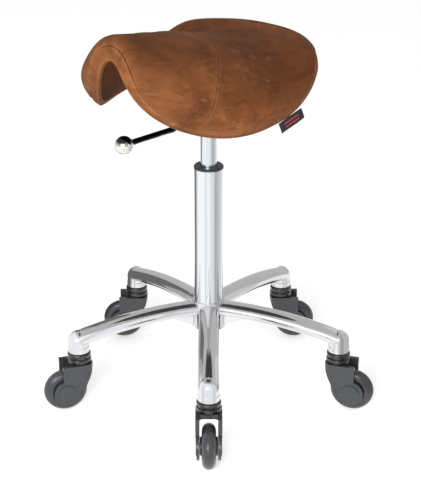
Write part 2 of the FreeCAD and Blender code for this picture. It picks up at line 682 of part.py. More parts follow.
# ---------------------------------------------------------------- seat carrier
def mount_block():
    """Wooden block between the flat steel plate and the curved shell."""
    top = size("plate_low") + size("steel")
    half_x = size("plate_half_x") - 4
    half_y = size("plate_half_y") - 4
    gap = size("block_gap")

    def corner_ring(shrink, level):
        points = []
        for k in range(48):
            angle = 2 * math.pi * (k + 0.5) / 48
            cx, sy = math.cos(angle), math.sin(angle)
            power = size("block_corner")
            radius = (abs(cx / half_x) ** power + abs(sy / half_y) ** power) ** (-1.0 / power) * shrink
            plan = (radius * cx, radius * sy)
            if level is None:
                station, across = station_of(plan[1], plan[0])
                points.append(V(plan[0], plan[1], saddle_point(station, across, 0).z - gap))
            else:
                points.append(V(plan[0], plan[1], level))
        curve = Part.BSplineCurve()
        curve.interpolate(points, PeriodicFlag=True)
        return Part.Wire([curve.toShape()])

    upper = [corner_ring(scale, None) for scale in (0.35, 0.7, 1.0)]
    base = corner_ring(1.0, top)
    station, across = station_of(0.0, 0.0)
    peak = Part.Vertex(V(0, 0, saddle_point(station, across, 0).z - gap))
    rings = [peak] + upper + [base]
    faces = [Part.Face(base)]
    for first, second in zip(rings, rings[1:]):
        faces += Part.makeLoft([first, second], False, True).Faces
    solid = solid_of(faces)
    for x_value, y_value in bolt_spots():
        solid = solid.cut(Part.makeCylinder(size("bolt_r"), 120, V(x_value, y_value, top - 2)))
    put_feature("mount_block", solid)


def mechanism():
    """Steel plate, the channel welded under it, the taper socket and the lever's pivot pin."""
    plate = doc.addObject("PartDesign::Body", "mechanism_plate_body")
    outline = new_sketch(plate, "plate_outline", "XY_Plane", V(0, 0, size("plate_low")))
    polygon(outline, [("-plate_half_x", "-plate_half_y"), ("plate_half_x", "-plate_half_y"),
                      ("plate_half_x", "plate_half_y"), ("-plate_half_x", "plate_half_y")])
    pad(plate, "plate_pad", outline, "steel", False)
    holes = new_sketch(plate, "plate_holes", "XY_Plane", V(0, 0, size("plate_low")))
    for along in ("-bolt_x", "bolt_x"):
        for up in ("-bolt_y", "bolt_y"):
            circle(holes, "bolt_r", along, up)
    pocket_through(plate, "plate_drilling", holes)
    keep(plate, "mechanism_plate")

    channel = doc.addObject("PartDesign::Body", "channel_body")
    section = new_sketch(channel, "channel_section", "XZ_Plane")
    inner = "bracket_half - steel + 1"
    polygon(section, [("-bracket_half", "web_z"), ("bracket_half", "web_z"), ("bracket_half", "plate_low"),
                      (inner, "plate_low"), (inner, "web_z + steel"), ("-(" + inner + ")", "web_z + steel"),
                      ("-(" + inner + ")", "plate_low"), ("-bracket_half", "plate_low")])
    pad(channel, "channel_pad", section, "bracket_len")
    opening = new_sketch(channel, "channel_opening", "XY_Plane")
    circle(opening, "cylinder_r")
    pocket_through(channel, "channel_bore", opening)
    pivot_hole = new_sketch(channel, "channel_pivot", "YZ_Plane")
    circle(pivot_hole, "pivot_r", "pivot_y", "pivot_z")
    pocket_through(channel, "channel_pivot_bore", pivot_hole)
    keep(channel, "mechanism_channel")

    turned("taper_socket", [
        ("cylinder_r", "taper_low"), ("taper_r - 2", "taper_low"), ("taper_r", "taper_low + 2"),
        ("taper_r", "web_z - 6"), ("taper_r + 5", "web_z"), ("cylinder_r", "web_z")])

    pin = doc.addObject("Part::Cylinder", "pivot_cylinder")
    pin.setExpression("Radius", bound("pivot_r"))
    pin.setExpression("Height", bound("2 * bracket_half"))
    keep(pin, "lever_pivot", FreeCAD.Placement(V(-size("bracket_half"), size("pivot_y"), size("pivot_z")),
                                               FreeCAD.Rotation(V(0, 1, 0), 90)))


def fixings():
    """Four hexagon-headed screws and the tee nuts they screw into."""
    screws = []
    nuts = []
    for index, (x_value, y_value) in enumerate(bolt_spots()):
        station, across = station_of(y_value, x_value)
        nut_low = saddle_point(station, across, 0).z + 1.2
        shank = doc.addObject("Part::Cylinder", "shank_%d" % index)
        shank.setExpression("Radius", bound("bolt_r"))
        shank.Height = nut_low + size("shell_thick") - 3 - size("plate_low")
        shank.Placement = FreeCAD.Placement(V(x_value, y_value, size("plate_low")), FreeCAD.Rotation())
        head = doc.addObject("Part::Prism", "head_%d" % index)
        head.Polygon = 6
        head.setExpression("Circumradius", bound("bolt_head_r"))
        head.setExpression("Height", bound("bolt_head_h"))
        head.Placement = FreeCAD.Placement(V(x_value, y_value, size("plate_low") - size("bolt_head_h")),
                                           FreeCAD.Rotation())
        screw = doc.addObject("Part::Fuse", "screw_%d" % index)
        screw.Base = shank
        screw.Tool = head
        screws.append(screw)
        outer = doc.addObject("Part::Cylinder", "nut_%d" % index)
        outer.Radius = size("bolt_r") + 1.5
        outer.Height = size("shell_thick") - 4
        outer.Placement = FreeCAD.Placement(V(x_value, y_value, nut_low), FreeCAD.Rotation())
        nut = doc.addObject("Part::Cut", "tee_nut_%d" % index)
        nut.Base = outer
        nut.Tool = shank
        nuts.append(nut)
    for label, pieces in (("seat_bolts", screws), ("tee_nuts", nuts)):
        group = doc.addObject("Part::Compound", label + "_group")
        group.Links = pieces
        keep(group, label)


def lever():
    """Cranked height lever on its pivot, with a ball knob."""
    points = [V(0, size("lever_tail_y"), size("pivot_z")), V(0, size("lever_bend_y"), size("pivot_z")),
              V(0, size("lever_flat_y"), size("lever_low_z")), V(0, size("ball_y") + 6, size("lever_low_z") - 1)]
    edges = []
    start = points[0]
    bend_r = size("lever_bend_r")
    for before, corner, after in zip(points, points[1:], points[2:]):
        way_in = (corner - before).normalize()
        way_out = (after - corner).normalize()
        turn = way_in.getAngle(way_out)
        back = bend_r * math.tan(turn / 2)
        first = corner - way_in * back
        last = corner + way_out * back
        bisector = (way_out - way_in).normalize()
        centre = corner + bisector * (bend_r / math.cos(turn / 2))
        middle = centre - bisector * bend_r
        edges.append(Part.makeLine(start, first))
        edges.append(Part.Arc(first, middle, last).toShape())
        start = last
    edges.append(Part.makeLine(start, points[-1]))
    path = Part.Wire(edges)
    section = Part.Wire([Part.makeCircle(size("lever_r"), points[0], V(0, -1, 0))])
    rod = path.makePipeShell([section], True, True)
    hole = Part.makeCylinder(size("pivot_r") + size("running_gap"), 40,
                             V(-20, size("pivot_y"), size("pivot_z")), V(1, 0, 0))
    eye = Part.makeCylinder(size("eye_r"), 16, V(-8, size("pivot_y"), size("pivot_z")), V(1, 0, 0))
    put_feature("lever_rod", rod.fuse(eye).cut(hole).removeSplitter())
    ball = doc.addObject("Part::Sphere", "ball_sphere")
    ball.setExpression("Radius", bound("ball_r"))
    bored = doc.addObject("Part::Cut", "ball_bored")
    spike = doc.addObject("Part::Cylinder", "ball_bore")
    spike.setExpression("Radius", bound("lever_r"))
    spike.Height = 30
    spike.Placement = FreeCAD.Placement(V(0, 6, 0), FreeCAD.Rotation(V(1, 0, 0), -90))
    bored.Base = ball
    bored.Tool = spike
    keep(bored, "lever_ball", FreeCAD.Placement(V(0, size("ball_y"), size("lever_low_z") - 1), FreeCAD.Rotation()))


star_base()
column()
gas_lift()
casters()
mechanism()
mount_block()
fixings()
lever()
seat_shell()
seat_foam()
top_panels()
cover_band()
underside_cover()
seat_label()

doc.recompute()
for obj in doc.Objects:
    if "Invalid" in obj.State or "Error" in obj.State:
        raise RuntimeError("%s did not recompute: %s" % (obj.Label, obj.State))
os.makedirs("parts", exist_ok=True)
total = 0.0
for part in PARTS:
    shape = part.Shape
    if shape.isNull() or not shape.isValid() or shape.Volume <= 0:
        raise RuntimeError("%s has no sound solid" % part.Label)
    shape.exportStep("parts/%s.step" % part.Label)
    total += shape.Volume
print("sub-parts:", len(PARTS), "volume in litres: %.3f" % (total / 1e6))
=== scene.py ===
import math

import bpy
import numpy as np
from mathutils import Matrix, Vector


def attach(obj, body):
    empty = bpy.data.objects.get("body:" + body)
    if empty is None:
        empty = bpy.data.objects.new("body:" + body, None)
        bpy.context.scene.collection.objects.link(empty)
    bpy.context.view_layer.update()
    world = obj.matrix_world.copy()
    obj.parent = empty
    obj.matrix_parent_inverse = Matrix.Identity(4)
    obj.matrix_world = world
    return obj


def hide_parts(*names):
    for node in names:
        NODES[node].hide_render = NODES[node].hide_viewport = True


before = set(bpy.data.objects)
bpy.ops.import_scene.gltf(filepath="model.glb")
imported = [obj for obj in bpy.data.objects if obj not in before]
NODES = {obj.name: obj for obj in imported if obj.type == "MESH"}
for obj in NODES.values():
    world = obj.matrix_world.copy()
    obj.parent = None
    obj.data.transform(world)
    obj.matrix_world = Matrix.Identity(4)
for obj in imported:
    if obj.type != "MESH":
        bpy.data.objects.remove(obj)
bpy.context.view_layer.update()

MM = 0.001               # one millimetre in metres

# ------------------------------------------------ saddle surface (millimetres, as in the CAD)
# The seat is a bent sheet with a crown on it. A place on the sheet is its station along the spine,
# from the nose, and its distance across from the spine. Rows of values are evenly spaced.
SPINE_LEN, NOSE_Y = 386.0, -210.4
SPINE_Z = (645.3, 627.0, 605.0, 586.7, 602.9)       # heights of the spine
BEND = tuple(math.radians(a) for a in (87.0, 74.5, 62.5, 43.0, -5.7, -2.0))    # how far the sides fold
BEND_LEN = (27.0, 169.0, 205.6)                     # the fold's scale across
MID, HALF = 178.0, 181.7                            # the outline's middle, and its half width there
NOSE_POWER, TAIL_POWER = 1.79, 2.37                 # powers of the outline, a superellipse
BAND_H = 20.2                                       # height of the boxing band
PAN_THICK, RIDGE_THICK, FLAP_THICK = 45.8, 31.0, 60.0      # full heights: rear, front ridge, flaps
FLAP_REACH, FLAP_FADE = 110.0, 0.62                 # distance across and share of the spine they need
CROWN_RUN, CROWN_RUN_NOSE = 33.4, 20.0              # distance from the edge over which the crown rises
NOSE_LIFT, NOSE_REACH = 6.5, 125.0                  # extra height at the nose, and where it has faded out
SEAM, SEAM_SPAN = (155.0, 153.5, 136.0, 101.0, 76.0), 144.0    # cross seam's stations, out to the span
FRONT_MID, REAR_MID = 95.0, 265.0                   # stations of the two panels' middles
TOPSTITCH = 7.0                                     # distance of the topstitching behind the cross seam
SINK = 0.7                                          # the panels start this much under the crown
SWELL = 3.0 * SINK                                  # and swell this much as cloth, at most
LINING_DEPTH = -1.5
# Darker areas painted on the leather as painted shade, where the seat falls in shade: their middle's x and y,
# half widths in x and y, and strength.
PAINTED_SHADE_SPOTS = ((165.0, 45.0, 45.0, 75.0, 0.42), (100.0, 90.0, 80.0, 70.0, 0.20), (40.0, -190.0, 45.0, 40.0, 0.22),
         (70.0, -165.0, 40.0, 45.0, 0.20))


def knot_curve(values, fraction):
    """A smooth curve through evenly spaced values, for an array of fractions."""
    values = np.asarray(values, float)
    last = len(values) - 1
    place = np.clip(fraction, 0, 1) * last
    i = np.minimum(place.astype(int), last - 1)
    t = place - i
    left, right = values[i], values[i + 1]
    before = np.where(i > 0, values[np.maximum(i - 1, 0)], 2 * left - right)
    after = np.where(i + 2 <= last, values[np.minimum(i + 2, last)], 2 * right - left)
    a, b = 0.5 * (right - before), 0.5 * (after - left)
    return (left * (2 * t ** 3 - 3 * t ** 2 + 1) + a * (t ** 3 - 2 * t ** 2 + t)
            + right * (3 * t ** 2 - 2 * t ** 3) + b * (t ** 3 - t ** 2))


def spine_table(steps=200):
    """Stations along the spine, with their y, their z and the spine's direction there."""
    share = np.arange(steps + 1) / steps
    step = SPINE_LEN / steps
    low = knot_curve(SPINE_Z, share - 0.5 / steps)
    high = knot_curve(SPINE_Z, share + 0.5 / steps)
    span = np.full(steps + 1, step)
    span[[0, -1]] = 0.5 * step
    rise = np.clip((high - low) / span, -0.98, 0.98)
    run = np.sqrt(1 - rise ** 2)
    along = NOSE_Y + np.concatenate([[0], np.cumsum(run[:-1] * step)])
    return share * SPINE_LEN, along, knot_curve(SPINE_Z, share), rise, run


SPINE = spine_table()


def saddle(station, across, height):
    """Points of the seat in millimetres, and the outward normal of the bent sheet there."""
    station, across, height = np.broadcast_arrays(*(np.asarray(v, float) for v in (station, across, height)))
    along, level, rise, run = (np.interp(station, SPINE[0], SPINE[k]) for k in (1, 2, 3, 4))
    fraction = np.clip(station / SPINE_LEN, 0, 1)
    bend, length = knot_curve(BEND, fraction), knot_curve(BEND_LEN, fraction)
    steps = 24
    piece = np.abs(across) / steps
    out = np.zeros_like(piece)
    down = np.zeros_like(piece)
    for k in range(steps):
        angle = bend * np.tanh((k + 0.5) * piece / length)
        out += np.cos(angle) * piece
        down += np.sin(angle) * piece
    angle = bend * np.tanh(np.abs(across) / length)
    side = np.where(across < 0, -1.0, 1.0)
    normal = np.stack([side * np.sin(angle), -np.cos(angle) * rise, np.cos(angle) * run], -1)
    base = np.stack([side * out, along + down * rise, level - down * run], -1)
    return base + height[..., None] * normal, normal


def reach_of(x_part, y_part):
    """Distance from the pattern's middle to its outline."""
    front = x_part < 0
    half_long = np.where(front, MID, SPINE_LEN - MID)
    power = np.where(front, NOSE_POWER, TAIL_POWER)
    total = np.abs(x_part / half_long) ** power + np.abs(y_part / HALF) ** power
    return np.maximum(total, 1e-12) ** (-1.0 / power)


def edge_distance(station, across):
    """Distance from a place to the outline, along the ray from the pattern's middle."""
    dx, dy = station - MID, across
    radius = np.maximum(np.hypot(dx, dy), 1e-6)
    return reach_of(dx / radius, dy / radius) - radius


def ease(value):
    """A smooth step from 0 to 1."""
    part = np.clip(value, 0, 1)
    return part * part * (3 - 2 * part)


def crown(station, across):
    """Height of the finished top above the bent sheet."""
    front = 1 - ease(station / (0.5 * SPINE_LEN))
    beside = 1 - ease(station / (FLAP_FADE * SPINE_LEN))
    flap = ease(np.abs(across) / FLAP_REACH)
    full = (PAN_THICK + front * (1 - flap) * (RIDGE_THICK - PAN_THICK)
            + beside * flap * (FLAP_THICK - PAN_THICK))
    full = full + NOSE_LIFT * (1 - ease(station / NOSE_REACH))
    run = CROWN_RUN + front * (CROWN_RUN_NOSE - CROWN_RUN)
    share = np.clip(edge_distance(station, across) / run, 0, 1)
    return BAND_H + (full - BAND_H) * np.sqrt(np.maximum(1 - (1 - share) ** 2, 0))


def seam_station(across):
    """Station of the cross seam at a distance across."""
    return knot_curve(SEAM, np.abs(across) / SEAM_SPAN)


# ------------------------------------------------ meshes
def mesh_object(name, verts, faces):
    """A smooth-shaded mesh object from millimetre points, riding on the seat."""
    mesh = bpy.data.meshes.new(name)
    mesh.from_pydata([tuple(v) for v in np.asarray(verts) * MM], [], faces)
    mesh.update()
    mesh.polygons.foreach_set("use_smooth", [True] * len(mesh.polygons))
    obj = bpy.data.objects.new(name, mesh)
    bpy.context.scene.collection.objects.link(obj)
    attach(obj, "seat")
    return obj


def grid_faces(rows, cols, closed):
    """Quads of a grid of rows by cols points, its columns closed or open."""
    faces = []
    last = cols if closed else cols - 1
    for r in range(rows - 1):
        for c in range(last):
            d = (c + 1) % cols
            faces.append((r * cols + c, r * cols + d, (r + 1) * cols + d, (r + 1) * cols + c))
    return faces


def add_attribute(obj, name, values):
    """A number at each point of a mesh, for its material to read."""
    layer = obj.data.attributes.new(name, "FLOAT", "POINT")
    layer.data.foreach_set("value", np.asarray(values, np.float32))


def panel_rays(middle, front, count):
    """Directions about a panel's middle, and how far the panel reaches along each."""
    angle = np.linspace(0, 2 * np.pi, count, endpoint=False)
    cx, sy = np.cos(angle), np.sin(angle)
    low, high = np.zeros(count), np.full(count, 500.0)
    for _ in range(30):
        mid = 0.5 * (low + high)
        u, v = middle + mid * cx, mid * sy
        beyond = u - seam_station(v)
        ok = (edge_distance(u, v) > 0) & ((beyond < 0) if front else (beyond > 0))
        low, high = np.where(ok, mid, low), np.where(ok, high, mid)
    return cx, sy, low


def polar_points(middle, rays, scales):
    """Stations and distances across of rings about a panel's middle, scaled to reach its border at 1."""
    cx, sy, reach = rays
    u = middle + reach[None, :] * scales[:, None] * cx[None, :]
    v = reach[None, :] * scales[:, None] * sy[None, :]
    return u, v


def polar_mesh(name, tip, points):
    """A mesh of rings about a tip point."""
    rows, count = points.shape[:2]
    verts = np.concatenate([tip.reshape(1, 3), points.reshape(-1, 3)])
    faces = [(0, 1 + c, 1 + (c + 1) % count) for c in range(count)]
    faces += [tuple(k + 1 for k in face) for face in grid_faces(rows, count, True)]
    return mesh_object(name, verts, faces)


def swell(name, middle, rays, count, rise):
    """How a stuffed panel swells: a cloth pinned at its seams and blown up from inside.

    Returns rings evenly spaced from the middle to the seams, and the swell on them in millimetres. The
    cloth gives its shape, which is scaled so that it rises as much as asked at its highest place.
    run has a plain dome of the same height instead.
    """
    rows, frames = 22, 20
    scales = np.arange(1, rows + 1) / rows
    u, v = polar_points(middle, rays, scales)
    start, normal = saddle(u, v, crown(u, v))
    tip_at = (np.array([middle]), np.array([0.0]))
    tip, _ = saddle(*tip_at, crown(*tip_at))
    obj = polar_mesh(name, tip, start)
    pins = obj.vertex_groups.new(name="seam")
    last = 1 + (rows - 1) * count
    pins.add(list(range(last, last + count)), 1.0, "REPLACE")
    cloth = obj.modifiers.new("cloth", "CLOTH")
    settings = cloth.settings
    settings.quality = 6
    settings.mass = 0.35
    settings.tension_stiffness = settings.compression_stiffness = 18.0
    settings.shear_stiffness = 8.0
    settings.bending_stiffness = 1.2
    settings.vertex_group_mass = "seam"
    settings.use_pressure = True
    settings.uniform_pressure_force = 4.0
    settings.effector_weights.gravity = 0.0
    cloth.collision_settings.use_collision = False
    cloth.point_cache.frame_start, cloth.point_cache.frame_end = 1, frames
    scene = bpy.context.scene
    for step in range(1, frames + 1):
        scene.frame_set(step)
    moved = obj.evaluated_get(bpy.context.evaluated_depsgraph_get()).to_mesh()
    ends = np.empty(len(moved.vertices) * 3, np.float32)
    moved.vertices.foreach_get("co", ends)
    travel = ((ends.reshape(-1, 3)[1:].reshape(rows, count, 3) / MM - start) * normal).sum(-1)
    bpy.data.objects.remove(obj, do_unlink=True)
    scene.frame_set(1)
    print("%s swells %.1f mm at most, %.1f mm on average" % (name, travel.max(), travel.mean()))
    return scales, travel * (rise / max(travel.max(), 1e-6))


def resample(scales, values, fine_scales, fine_count):
    """Values on coarse rings, read at finer rings and directions."""
    count = values.shape[1]
    rows = np.concatenate([values[:1], values])
    known = np.concatenate([[0.0], scales])
    by_ring = np.stack([np.interp(fine_scales, known, rows[:, c]) for c in range(count)], 1)
    place = np.arange(fine_count) * count / fine_count
    left = np.floor(place).astype(int)
    share = place - left
    return by_ring[:, left % count] * (1 - share) + by_ring[:, (left + 1) % count] * share


def panel(name, middle, front):
    """One top leather panel: crowned, swollen as cloth, rolled down into the seams at its border."""
    count, coarse = 480, 96
    rays = panel_rays(middle, front, count)
    scales = 1 - np.linspace(1, 0, 120)[1:] ** 2
    u, v = polar_points(middle, rays, scales)
    from_edge = edge_distance(u, v)
    from_seam = np.abs(u - seam_station(v))
    coarse_rays = panel_rays(middle, front, coarse)
    coarse_scales, rise = swell(name + "_cloth", middle, coarse_rays, coarse, SWELL)
    lift = resample(coarse_scales, rise, scales, count)
    height = crown(u, v) - SINK * np.clip(np.minimum(from_edge, from_seam) / 12.0, 0, 1) + lift
    # The leather dips into the cross seam and is thicker beside it, where its edge is turned in.
    seam_dip, turned_in = 1.5, 0.75 if front else 0.30
    height = height - seam_dip * np.exp(-(from_seam / 1.5) ** 2)
    height = height + turned_in * np.exp(-((from_seam - 3.4) / 2.2) ** 2)
    if not front:
        stitch_dip = 0.5
        height = height - stitch_dip * np.exp(-((from_seam - TOPSTITCH) / 0.9) ** 2)
    # At the band's seam it is drawn in, and it bulges a little above that.
    above = height - BAND_H
    drawn_in, bulge = 1.4, 0.6
    tuck = drawn_in * np.exp(-(above / 1.7) ** 2) - bulge * np.exp(-((above - 4.6) / 2.4) ** 2)
    tuck = tuck * np.clip(1 - from_edge / 8.0, 0, 1)
    u, v = u - tuck * rays[0], v - tuck * rays[1]
    # Small uneven puckers run along the seams.
    pucker = 0.16
    around = np.concatenate([[0], np.cumsum(np.hypot(np.diff(u[-1]), np.diff(v[-1])))])
    ripple = np.sin(around / 5.2 + 1.7 * np.sin(around / 23.0)) * (0.6 + 0.4 * np.sin(around / 41.0 + 1.0))
    near = np.exp(-((np.minimum(from_edge + 3.0, from_seam) - 5.5) / 4.5) ** 2)
    height = height + pucker * ripple[None, :] * near
    points, _ = saddle(u, v, height)
    tip_at = (np.array([middle]), np.array([0.0]))
    tip, _ = saddle(*tip_at, crown(*tip_at) - SINK + lift[:1].mean())
    obj = polar_mesh(name, tip, points)
    wear = np.exp(-np.minimum(from_edge + np.maximum(above, 0) * 0.5, from_seam * 1.3) / 6.0)
    add_attribute(obj, "wear", np.concatenate([[0], wear.reshape(-1)]))
    # Painted shade: a few listed patches of the leather are painted darker where the seat falls in shade.
    painted_shade = sum(weight * np.exp(-((points[..., 0] - x) / wide) ** 2 - ((points[..., 1] - y) / deep) ** 2)
                for x, y, wide, deep, weight in PAINTED_SHADE_SPOTS)
    add_attribute(obj, "painted_shade", np.concatenate([[0], painted_shade.reshape(-1)]))
    return obj


def outline_ring(count, inset=0.0, scale=1.0):
    """Stations and distances across of points round the outline, scaled about its middle and then inset."""
    angle = np.linspace(0, 2 * np.pi, count, endpoint=False)
    cx, sy = np.cos(angle), np.sin(angle)
    radius = reach_of(cx, sy) * scale - inset
    return MID + radius * cx, radius * sy


def band():
    """Boxing band: a slightly bellied strip round the edge, tucked in at the top seam and turned under."""
    count = 420
    profile = ((9.0, -1.7), (6.0, -2.0), (2.5, -2.1), (0.9, -1.7), (0.2, -0.7), (-0.1, 1.0), (-0.5, 4.0),
               (-0.8, 7.0), (-0.9, 10.0), (-0.8, 13.5), (-0.4, 16.8), (0.0, 18.9), (0.5, 19.9), (1.2, 19.7),
               (2.6, 18.0))
    rows = []
    wear = []
    for inset, height in profile:
        u, v = outline_ring(count, inset)
        points, _ = saddle(u, v, np.full(len(u), height))
        rows.append(points)
        near = min(abs(height - BAND_H + 1.5), abs(height + 1.0))
        wear.append(np.full(len(u), math.exp(-near / 3.0)))
    obj = mesh_object("seat_boxing_band", np.concatenate(rows), grid_faces(len(rows), count, True))
    add_attribute(obj, "wear", np.concatenate(wear))
    return obj


def underside():
    """Lining under the shell: rings that shrink to the outline's middle."""
    count, whole = 240, 170.0
    rows = []
    for inset in (1.5, 3, 8, 20, 40, 60, 80, 100, 120, 140, 155, 165):
        u, v = outline_ring(count, scale=1 - inset / whole)
        points, _ = saddle(u, v, np.full(count, LINING_DEPTH))
        rows.append(points)
    tip, _ = saddle(np.array([MID]), np.array([0.0]), np.array([LINING_DEPTH]))
    verts = np.concatenate([np.concatenate(rows), tip])
    last, middle = (len(rows) - 1) * count, len(verts) - 1
    faces = grid_faces(len(rows), count, True)
    faces += [(last + c, last + (c + 1) % count, middle) for c in range(count)]
    return mesh_object("seat_underside_lining", verts, faces)


def stitches(name, points, normals, length, width):
    """Short rounded threads laid along a line of points, each following the line."""
    verts, faces = [], []
    sides, rings = 6, (-0.5, -0.36, 0.0, 0.36, 0.5)
    girth = (0.15, 0.8, 1.0, 0.8, 0.15)
    last = len(points) - 1
    for i in range(len(points)):
        ahead = points[min(i + 1, last)] - points[max(i - 1, 0)]
        ahead = ahead / np.linalg.norm(ahead)
        up = normals[i] - ahead * np.dot(normals[i], ahead)
        up /= np.linalg.norm(up)
        side = np.cross(ahead, up)
        base = len(verts)
        for r, g in zip(rings, girth):
            for k in range(sides):
                a = 2 * math.pi * k / sides
                round_it = (side * math.cos(a) + up * math.sin(a)) * 0.5 * width * g
                verts.append(points[i] + ahead * r * length + round_it)
        faces += [tuple(base + k for k in face) for face in grid_faces(len(rings), sides, True)]
        faces.append(tuple(base + k for k in range(sides))[::-1])
        faces.append(tuple(base + (len(rings) - 1) * sides + k for k in range(sides)))
    return mesh_object(name, verts, faces)


def seam_stitches():
    """Topstitching beside the cross seam."""
    pitch, length, width = 4.2, 3.1, 0.75
    v = np.linspace(-HALF, HALF, 4000)
    u = seam_station(v) + TOPSTITCH
    keep = edge_distance(u, v) > 4.0
    u, v = u[keep], v[keep]
    points, normals = saddle(u, v, crown(u, v) - 0.15)
    travel = np.concatenate([[0], np.cumsum(np.linalg.norm(np.diff(points, axis=0), axis=1))])
    marks = np.arange(2.0, travel[-1] - 2, pitch)
    pick = np.searchsorted(travel, marks)
    return stitches("seat_cross_stitching", points[pick], normals[pick], length, width)


def label():
    """Folded woven tag sewn to the band: a slightly curled double strip as big as the CAD's label."""
    mesh = NODES["seat_label"].data
    pts = np.array([v.co[:] for v in mesh.vertices]) * 1000.0
    centre = pts.mean(0)
    sizes, axes = np.linalg.eigh(np.cov((pts - centre).T))
    out, hang, along = axes[:, 0], axes[:, 1], axes[:, 2]
    hang = hang if hang[2] < 0 else -hang
    out = out if np.dot(out[:2], centre[:2]) > 0 else -out
    reach = (pts - centre) @ np.stack([along, hang, out], 1)
    length, drop = np.ptp(reach[:, 0]), np.ptp(reach[:, 1])
    rows, cols = 22, 40
    t, c = np.meshgrid(np.linspace(0, 1, rows), np.linspace(-0.5, 0.5, cols), indexing="ij")
    bow = 0.5 * np.sin(np.pi * t) + 0.5 * np.sin(2.2 * c * np.pi + 0.6) * t
    thick = 0.5 * np.sqrt(np.maximum(0, 1 - t ** 8))
    sides = []
    for side in (1, -1):
        offset = (bow + side * thick)[..., None] * out
        fall = ((t - 0.5) * drop)[..., None] * hang
        sides.append((centre + (c * length)[..., None] * along + fall + offset).reshape(-1, 3))
    n = rows * cols
    faces = grid_faces(rows, cols, False)
    faces += [tuple(k + n for k in face)[::-1] for face in grid_faces(rows, cols, False)]
    border = [r * cols for r in range(rows)] + [n - cols + k for k in range(1, cols)]
    border += [r * cols + cols - 1 for r in range(rows - 2, -1, -1)]
    faces += [(a, b, b + n, a + n) for a, b in zip(border, border[1:])]
    obj = mesh_object("seat_woven_tag", np.concatenate(sides), faces)
    add_attribute(obj, "across", np.tile((c + 0.5).reshape(-1), 2))
    add_attribute(obj, "down", np.tile(t.reshape(-1), 2))
    return obj


# ------------------------------------------------ materials
def new_material(name):
    """A material with its node tree and its Principled shader."""
    material = bpy.data.materials.new(name)
    material.use_nodes = True
    tree = material.node_tree
    return material, tree, tree.nodes["Principled BSDF"]


def add(tree, kind, **settings):
    """A node with its inputs or its own properties set by name."""
    node = tree.nodes.new(kind)
    for key, value in settings.items():
        if key in node.inputs:
            node.inputs[key].default_value = value
        else:
            setattr(node, key, value)
    return node


def coords(tree, scale=(1, 1, 1), turn=(0, 0, 0)):
    """Object coordinates, stretched and turned."""
    tex = tree.nodes.new("ShaderNodeTexCoord")
    mapping = tree.nodes.new("ShaderNodeMapping")
    mapping.inputs["Rotation"].default_value = turn
    mapping.inputs["Scale"].default_value = scale
    tree.links.new(tex.outputs["Object"], mapping.inputs["Vector"])
    return mapping.outputs["Vector"]


def noise(tree, vector, scale, detail=4.0, rough=0.55, distortion=0.0):
    node = add(tree, "ShaderNodeTexNoise", Scale=scale, Detail=detail, Roughness=rough, Distortion=distortion)
    tree.links.new(vector, node.inputs["Vector"])
    return node.outputs["Fac"]


def attribute(tree, name):
    """A mesh's number of that name, as add_attribute wrote it."""
    node = tree.nodes.new("ShaderNodeAttribute")
    node.attribute_name = name
    return node.outputs["Fac"]


def ramp(tree, source, stops):
    """A colour for each value, from (place, colour) stops."""
    node = tree.nodes.new("ShaderNodeValToRGB")
    elements = node.color_ramp.elements
    while len(elements) < len(stops):
        elements.new(0.5)
    for element, (place, colour) in zip(elements, stops):
        element.position = place
        element.color = (*colour, 1.0)
    tree.links.new(source, node.inputs["Fac"])
    return node.outputs["Color"]


def mix(tree, factor, first, second):
    """A blend of two colours, each a socket or plain numbers."""
    node = tree.nodes.new("ShaderNodeMix")
    node.data_type = "RGBA"
    for socket, value in ((node.inputs[0], factor), (node.inputs[6], first), (node.inputs[7], second)):
        if isinstance(value, bpy.types.NodeSocket):
            tree.links.new(value, socket)
        elif isinstance(value, (int, float)):
            socket.default_value = value
        else:
            socket.default_value = (*value, 1.0)
    return node.outputs[2]


def math_node(tree, operation, first, second=0.0):
    """A sum on two values, each a socket or a number."""
    node = tree.nodes.new("ShaderNodeMath")
    node.operation = operation
    for socket, value in ((node.inputs[0], first), (node.inputs[1], second)):
        if isinstance(value, bpy.types.NodeSocket):
            tree.links.new(value, socket)
        else:
            socket.default_value = value
    return node.outputs[0]


def remap(tree, source, low, high, to_low, to_high):
    """A value moved from one range to another, held at its ends."""
    node = add(tree, "ShaderNodeMapRange")
    for key, value in (("From Min", low), ("From Max", high), ("To Min", to_low), ("To Max", to_high)):
        node.inputs[key].default_value = value
    tree.links.new(source, node.inputs["Value"])
    return node.outputs["Result"]


def bump(tree, shader, layers):
    """Chained bumps: each layer is (height socket, strength, distance in metres)."""
    previous = None
    for height, strength, distance in layers:
        node = add(tree, "ShaderNodeBump", Strength=strength, Distance=distance)
        tree.links.new(height, node.inputs["Height"])
        if previous is not None:
            tree.links.new(previous, node.inputs["Normal"])
        previous = node.outputs["Normal"]
    tree.links.new(previous, shader.inputs["Normal"])


LEATHER_GLOSS = 0.03


